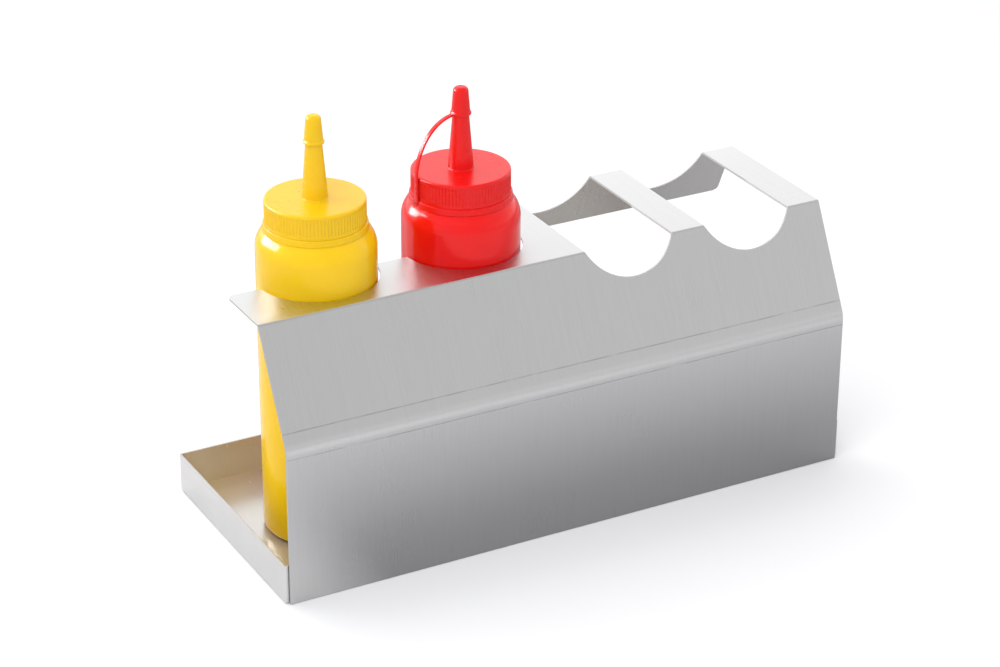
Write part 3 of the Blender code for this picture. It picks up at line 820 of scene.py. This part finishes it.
def strap_frames(center, azimuth, skirt_radius, ring_z, low_z, rim_z, rim_radius):
    """Up out of the ring beside the cap's skirt, then over in one curve to the tip cap's rim."""
    out = Vector((cos(azimuth), sin(azimuth), 0.0))
    across = Vector((-sin(azimuth), cos(azimuth), 0.0))
    beside = skirt_radius + STRAP_GAP + STRAP_THICKNESS / 2
    bend = Vector((beside, STRAP_BEND_Z))
    lower_handle = Vector((beside, STRAP_BEND_Z + STRAP_LOWER_HANDLE))
    end = Vector((rim_radius - FILLET, rim_z + FILLET))
    upper_handle = end + STRAP_UPPER_HANDLE
    path = []
    for step in range(STRAP_LOWER_STEPS):
        path.append(Vector((beside, ring_z + (STRAP_BEND_Z - ring_z) * step / STRAP_LOWER_STEPS)))
    for step in range(STRAP_CURVE_STEPS + 1):
        t = step / STRAP_CURVE_STEPS
        s = 1.0 - t
        path.append(s**3 * bend + 3 * s**2 * t * lower_handle + 3 * s * t**2 * upper_handle + t**3 * end)
    frames = []
    for index, (radius, height) in enumerate(path):
        ahead = path[min(index + 1, len(path) - 1)] - path[max(index - 1, 0)]
        ahead.normalize()
        thick = out * ahead.y - Vector((0.0, 0.0, ahead.x))
        share = max(0.0, 1.0 - max(0.0, height - low_z) / STRAP_FOOT_HEIGHT)
        width = STRAP_WIDTH + (STRAP_FOOT_WIDTH - STRAP_WIDTH) * share * share
        point = Vector((*center, height)) + out * radius
        frames.append((point, across, thick, (width, STRAP_THICKNESS)))
    return frames


def build_bottle(sauce):
    """One squeeze bottle with its screw cap and tether. Returns its axis and the pieces that show."""
    bottle_low, bottle_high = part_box(sauce + "_bottle")
    cap_low, cap_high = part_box(sauce + "_screw_cap")
    ring_low, ring_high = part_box(sauce + "_neck_ring")
    tip_low, tip_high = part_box(sauce + "_tip_cap")
    center = ((bottle_low.x + bottle_high.x) / 2, (bottle_low.y + bottle_high.y) / 2)
    body_radius = (bottle_high.x - bottle_low.x) / 2
    cap_radius = (cap_high.x - cap_low.x) / 2
    body = plastic(sauce + "_bottle_polyethylene", BODY_COLORS[sauce], **BODY_SKIN)
    cap = plastic(sauce + "_cap_polypropylene", CAP_COLORS[sauce], **CAP_SKIN)
    bottle_slot = sauce + "_bottle_plastic"
    cap_slot = sauce + "_cap_plastic"

    wall = turned(sauce + "_bottle_wall", bottle_profile(bottle_low.z, bottle_high.z, body_radius),
                  center, BODY_SEGMENTS)
    weigh_normals(wall)
    finish_piece(wall, sauce + "_bottle_body", body, bottle_slot, sauce + "_bottle")
    neck_thread = swept(sauce + "_neck_thread",
                        thread_frames(center, NECK_RADIUS + THREAD_STANDOFF, NECK_RIDGE_Z, NECK_RIDGE_TURNS,
                                      NECK_RIDGE_RADIUS),
                        round_section(THREAD_SECTION_STEPS))
    finish_piece(neck_thread, sauce + "_bottle_body", body, bottle_slot)

    profile = cap_profile(cap_low.z, cap_radius)
    moulding = turned(sauce + "_cap_moulding", profile, center, RIB_COUNT * RIB_STEPS,
                      rib_depths(profile, cap_low.z, cap_radius))
    weigh_normals(moulding)
    finish_piece(moulding, sauce + "_cap_body", cap, cap_slot, sauce + "_screw_cap")
    cap_thread = swept(sauce + "_cap_thread",
                       thread_frames(center, cap_radius - CAP_SKIRT_WALL - THREAD_STANDOFF, CAP_RIDGE_Z,
                                     CAP_RIDGE_TURNS, CAP_RIDGE_RADIUS),
                       round_section(THREAD_SECTION_STEPS))
    finish_piece(cap_thread, sauce + "_cap_body", cap, cap_slot)

    ring_radius = (ring_high.x - ring_low.x) / 2
    ring = turned(sauce + "_ring_moulding", ring_profile(ring_low.z, ring_high.z, ring_radius),
                  center, RING_SEGMENTS)
    finish_piece(ring, sauce + "_tether_body", cap, cap_slot, sauce + "_neck_ring")

    rim_radius = (tip_high.x - tip_low.x) / 2
    tip = turned(sauce + "_tip_moulding", tip_profile(tip_low.z, tip_high.z, rim_radius),
                 center, TIP_SEGMENTS)
    finish_piece(tip, sauce + "_tip_body", cap, cap_slot, sauce + "_tip_cap")

    ring_z = (ring_low.z + ring_high.z) / 2
    frames = strap_frames(center, STRAP_ANGLES[sauce], cap_radius, ring_z, ring_high.z, tip_low.z, rim_radius)
    strap = swept(sauce + "_strap_ribbon", frames, strap_section())
    strap.data.materials.append(cap)
    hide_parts(sauce + "_strap")
    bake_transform(strap)
    return center, [wall, moulding, ring, tip, strap]


# Studio


def build_floor():
    """Pale paper. Reflections see a painted shade on it in front of the stand's foot, where the stand shades
    it most.
    """
    bm = bmesh.new()
    bmesh.ops.create_grid(bm, x_segments=1, y_segments=1, size=FLOOR_SIZE / 2)
    floor = add_object("studio_floor", bm, smooth=False)
    floor.location.z = -FLOOR_DROP
    material, tree, shader = new_material("studio_paper", FLOOR_COLOR, 0.0, FLOOR_ROUGHNESS)
    shader.inputs["Specular IOR Level"].default_value = FLOOR_GLOSS
    place = add_node(tree, "ShaderNodeTexCoord").outputs["Object"]
    split = add_node(tree, "ShaderNodeSeparateXYZ", {"Vector": place})
    # Painted shade: glossy rays see the floor darker in front of the stand's foot
    near = remap(tree, split.outputs["Y"], FOOT_SHADE_Y[1], FOOT_SHADE_Y[0], 0.0, 1.0)
    inside = remap(tree, split.outputs["X"], FOOT_SHADE_X[0], FOOT_SHADE_X[1], 0.0, 1.0)
    ray = add_node(tree, "ShaderNodeLightPath")
    shade = calculate(tree, "MULTIPLY", near, inside)
    mirrored = blended(tree, shade, FLOOR_MIRRORED_COLOR, FLOOR_PAINTED_SHADE_COLOR)
    color = blended(tree, ray.outputs["Is Glossy Ray"], FLOOR_COLOR, mirrored)
    color = blended(tree, ray.outputs["Is Camera Ray"], color, FLOOR_SEEN_COLOR)
    tree.links.new(color, shader.inputs["Base Color"])
    floor.data.materials.append(material)


def build_sky():
    """A soft white room, brightest behind the stand and along the horizon, dimmer in front and overhead."""
    world = bpy.data.worlds.new("studio")
    world.use_nodes = True
    bpy.context.scene.world = world
    tree = world.node_tree
    direction = add_node(tree, "ShaderNodeTexCoord").outputs["Generated"]
    facing = add_node(tree, "ShaderNodeVectorMath", {0: direction, 1: BRIGHT_SIDE}, operation="DOT_PRODUCT")
    level = remap(tree, facing.outputs["Value"], *SIDE_FADE, SKY_DIM, SKY_BRIGHT)
    height = add_node(tree, "ShaderNodeSeparateXYZ", {"Vector": direction}).outputs["Z"]
    level = calculate(tree, "MULTIPLY", level, remap(tree, height, *ZENITH_FADE, 1.0, ZENITH_SHARE))
    level = calculate(tree, "MULTIPLY", level, remap(tree, height, *HORIZON_FADE, HORIZON_SHARE, 1.0))
    tree.links.new(level, tree.nodes["Background"].inputs["Strength"])
    tree.nodes["Background"].inputs["Color"].default_value = (1.0, 1.0, 1.0, 1.0)


def add_area_light(name, direction, distance, size, power, tilt=0.0):
    data = bpy.data.lights.new(name, "AREA")
    data.shape = "RECTANGLE"
    data.size, data.size_y = size
    data.energy = power
    light = bpy.data.objects.new(name, data)
    away = Vector(direction).normalized()
    light.location = CAMERA_TARGET + away * distance
    aim = away.to_track_quat("Z", "Y").to_matrix() @ Matrix.Rotation(tilt, 3, "Z")
    light.rotation_euler = aim.to_euler()
    bpy.context.scene.collection.objects.link(light)
    return light


def build_lights(glossy_pieces):
    """A soft key from behind, a fill that nothing mirrors, and a light that only the glossy pieces mirror."""
    add_area_light("key", **KEY)
    add_area_light("fill", **FILL).visible_glossy = False
    glint = add_area_light("glint", **GLINT)
    glint.visible_diffuse = False
    lit = bpy.data.collections.new("lit_by_glint")
    for piece in glossy_pieces:
        lit.objects.link(piece)
    glint.light_linking.receiver_collection = lit


def build_camera():
    data = bpy.data.cameras.new("photo_camera")
    data.lens = CAMERA_LENS
    camera = bpy.data.objects.new("photo_camera", data)
    back = Vector((-sin(CAMERA_AZIMUTH) * cos(CAMERA_ELEVATION),
                   -cos(CAMERA_AZIMUTH) * cos(CAMERA_ELEVATION), sin(CAMERA_ELEVATION)))
    aim = back.to_track_quat("Z", "Y").to_matrix().to_4x4()
    place = Matrix.Translation(CAMERA_TARGET + back * CAMERA_DISTANCE)
    camera.matrix_world = place @ aim @ Matrix.Rotation(CAMERA_ROLL, 4, "Z")
    bpy.context.scene.collection.objects.link(camera)
    bpy.context.scene.camera = camera


mustard_center, mustard_pieces = build_bottle("mustard")
ketchup_center, ketchup_pieces = build_bottle("ketchup")
build_shell([mustard_center, ketchup_center])
build_tray()
build_floor()
build_sky()
build_lights(mustard_pieces + ketchup_pieces)
build_camera()
bpy.context.scene.view_settings.view_transform = "Standard"
